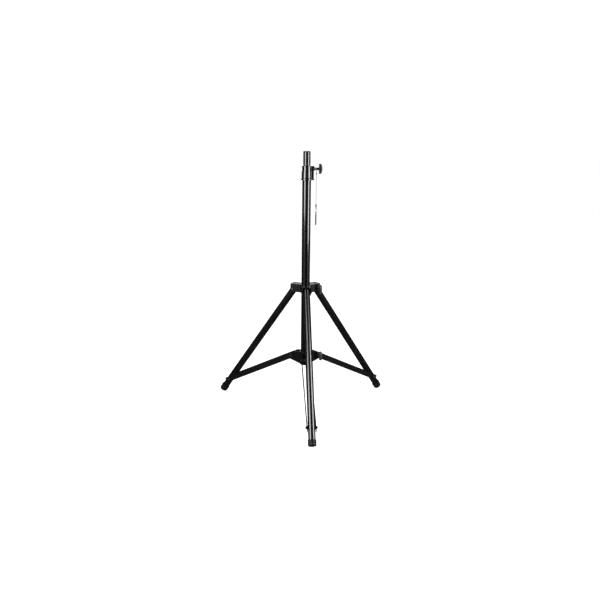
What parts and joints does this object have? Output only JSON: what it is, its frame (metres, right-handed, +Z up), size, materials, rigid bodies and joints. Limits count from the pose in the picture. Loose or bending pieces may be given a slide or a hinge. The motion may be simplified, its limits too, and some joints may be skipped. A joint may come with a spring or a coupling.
{
  "type": "tripod lighting stand",
  "caption": "Folding tripod stand with a two-section telescopic mast, a clamping collar with a T-handle screw, braced tube legs with rubber feet, and a safety pin on a wire lanyard.",
  "frame": {"origin": "on the floor under the mast: the mast axis meets the plane of the three soles", "axes": "+Z up along the mast; -Y along the front leg; +X towards the collar knob"},
  "size_m": [0.8788, 0.7664, 1.303],
  "materials": {
    "mast_black": "gloss black stove enamel on steel tube",
    "collar_black": "semi-gloss black moulded nylon",
    "hub_black": "semi-gloss black powder coat",
    "leg_black": "satin black powder coat on steel tube",
    "brace_black": "satin black powder coat on flat steel",
    "plastic_black": "matte black nylon",
    "knob_black": "semi-gloss black moulded nylon",
    "knob_grey": "semi-gloss dark grey moulded nylon",
    "fastener_steel": "zinc-plated steel",
    "screw_black": "black oxide steel",
    "brass": "turned brass",
    "foot_rubber": "matte black moulded rubber",
    "wire_steel": "bright stranded steel wire",
    "ferrule_dark": "dark crimped aluminium",
    "pin_steel": "dark drawn steel"
  },
  "bodies": {
    "mast": {"outer_tube": "mast_black", "mast_bottom_plug": "plastic_black", "collar_body": "collar_black", "collar_bush": "plastic_black", "collar_insert": "brass", "collar_set_screws": "screw_black", "upper_hub_core": "hub_black", "upper_hub_screws": "screw_black", "upper_bracket_front": "hub_black", "upper_bracket_right": "hub_black", "upper_bracket_left": "hub_black", "upper_bolt_front": "fastener_steel", "upper_bolt_left": "fastener_steel", "upper_stud_right": "fastener_steel"},
    "pole": {"pole": "mast_black", "pole_guide": "plastic_black", "pole_top_plug": "plastic_black"},
    "clamp": {"clamp_pad": "brass"},
    "clamp_knob": {"clamp_screw": "fastener_steel", "collar_knob": "knob_black"},
    "upper_lock": {"upper_knob_washer": "fastener_steel"},
    "upper_lock_knob": {"upper_knob": "knob_grey"},
    "lower_hub": {"lower_hub_sleeve": "hub_black", "lower_hub_bushes": "plastic_black", "lower_bracket_front": "hub_black", "lower_bracket_right": "hub_black", "lower_bracket_left": "hub_black", "lower_bolt_front": "fastener_steel", "lower_bolt_left": "fastener_steel", "lower_stud_right": "fastener_steel"},
    "lower_lock": {"lower_knob_washer": "fastener_steel"},
    "lower_lock_knob": {"lower_knob": "knob_grey"},
    "leg_front": {"leg_tube_front": "leg_black", "leg_plug_front": "plastic_black", "leg_bush_front": "fastener_steel", "foot_front": "foot_rubber"},
    "brace_front": {"brace_bar_front_a": "brace_black", "brace_bar_front_b": "brace_black", "brace_rivets_front": "fastener_steel"},
    "leg_right": {"leg_tube_right": "leg_black", "leg_plug_right": "plastic_black", "leg_bush_right": "fastener_steel", "foot_right": "foot_rubber"},
    "brace_right": {"brace_bar_right_a": "brace_black", "brace_bar_right_b": "brace_black", "brace_rivets_right": "fastener_steel"},
    "leg_left": {"leg_tube_left": "leg_black", "leg_plug_left": "plastic_black", "leg_bush_left": "fastener_steel", "foot_left": "foot_rubber"},
    "brace_left": {"brace_bar_left_a": "brace_black", "brace_bar_left_b": "brace_black", "brace_rivets_left": "fastener_steel"},
    "lanyard": {"lanyard_wire": "wire_steel", "lanyard_ferrules": "ferrule_dark"},
    "pin": {"safety_pin": "pin_steel"}
  },
  "joints": [
    {"name": "pole_slide", "type": "slide", "parent": "mast", "child": "pole", "axis": [0, 0, 1], "range_m": [0, 0.8]},
    {"name": "clamp_slide", "type": "slide", "parent": "mast", "child": "clamp", "axis": [1, 0, 0], "range_m": [0, 0.0025]},
    {"name": "clamp_knob_turn", "type": "hinge", "parent": "clamp", "child": "clamp_knob", "pos_m": [0, 0, 1.22], "axis": [1, 0, 0], "range_deg": [0, 720]},
    {"name": "upper_lock_slide", "type": "slide", "parent": "mast", "child": "upper_lock", "axis": [0.5, -0.866, 0], "range_m": [0, 0.0025]},
    {"name": "upper_lock_turn", "type": "hinge", "parent": "upper_lock", "child": "upper_lock_knob", "pos_m": [0.05283, 0.0305, 0.625], "axis": [0.5, -0.866, 0], "range_deg": [0, 720]},
    {"name": "leg_front_fold", "type": "hinge", "parent": "mast", "child": "leg_front", "pos_m": [0, -0.061, 0.625], "axis": [1, 0, 0], "range_deg": [0, 25.8]},
    {"name": "leg_right_fold", "type": "hinge", "parent": "mast", "child": "leg_right", "pos_m": [0.05283, 0.0305, 0.625], "axis": [-0.5, 0.866, 0], "range_deg": [0, 25.8]},
    {"name": "leg_left_fold", "type": "hinge", "parent": "mast", "child": "leg_left", "pos_m": [-0.05283, 0.0305, 0.625], "axis": [-0.5, -0.866, 0], "range_deg": [0, 25.8]},
    {"name": "lower_hub_slide", "type": "slide", "parent": "mast", "child": "lower_hub", "axis": [0, 0, 1], "range_m": [0, 0.10339]},
    {"name": "lower_lock_slide", "type": "slide", "parent": "lower_hub", "child": "lower_lock", "axis": [0.5, -0.866, 0], "range_m": [0, 0.0025]},
    {"name": "lower_lock_turn", "type": "hinge", "parent": "lower_lock", "child": "lower_lock_knob", "pos_m": [0.05889, 0.034, 0.274], "axis": [0.5, -0.866, 0], "range_deg": [0, 720]},
    {"name": "brace_front_fold", "type": "hinge", "parent": "lower_hub", "child": "brace_front", "pos_m": [0, -0.068, 0.274], "axis": [1, 0, 0], "range_deg": [0, 49.04]},
    {"name": "brace_right_fold", "type": "hinge", "parent": "lower_hub", "child": "brace_right", "pos_m": [0.05889, 0.034, 0.274], "axis": [-0.5, 0.866, 0], "range_deg": [0, 49.04]},
    {"name": "brace_left_fold", "type": "hinge", "parent": "lower_hub", "child": "brace_left", "pos_m": [-0.05889, 0.034, 0.274], "axis": [-0.5, -0.866, 0], "range_deg": [0, 49.04]},
    {"name": "lanyard_swing", "type": "hinge", "parent": "mast", "child": "lanyard", "pos_m": [0.0465, 0, 1.22], "axis": [1, 0, 0], "range_deg": [-80, 80]},
    {"name": "pin_swing", "type": "hinge", "parent": "lanyard", "child": "pin", "pos_m": [0.0465, 0, 1.008], "axis": [1, 0, 0], "range_deg": [-60, 60]}
  ],
  "couplings": [
    {"joint": "clamp_slide", "follows": "clamp_knob_turn", "m_per_rad": 0.00019894},
    {"joint": "upper_lock_slide", "follows": "upper_lock_turn", "m_per_rad": 0.00019894},
    {"joint": "lower_lock_slide", "follows": "lower_lock_turn", "m_per_rad": 0.00019894},
    {"joint": "leg_right_fold", "follows": "leg_front_fold", "ratio": 1},
    {"joint": "leg_left_fold", "follows": "leg_front_fold", "ratio": 1},
    {"joint": "lower_hub_slide", "follows": "leg_front_fold", "m_per_rad": 0.2296},
    {"joint": "brace_front_fold", "follows": "leg_front_fold", "ratio": 1.9009},
    {"joint": "brace_right_fold", "follows": "leg_front_fold", "ratio": 1.9009},
    {"joint": "brace_left_fold", "follows": "leg_front_fold", "ratio": 1.9009}
  ]
}
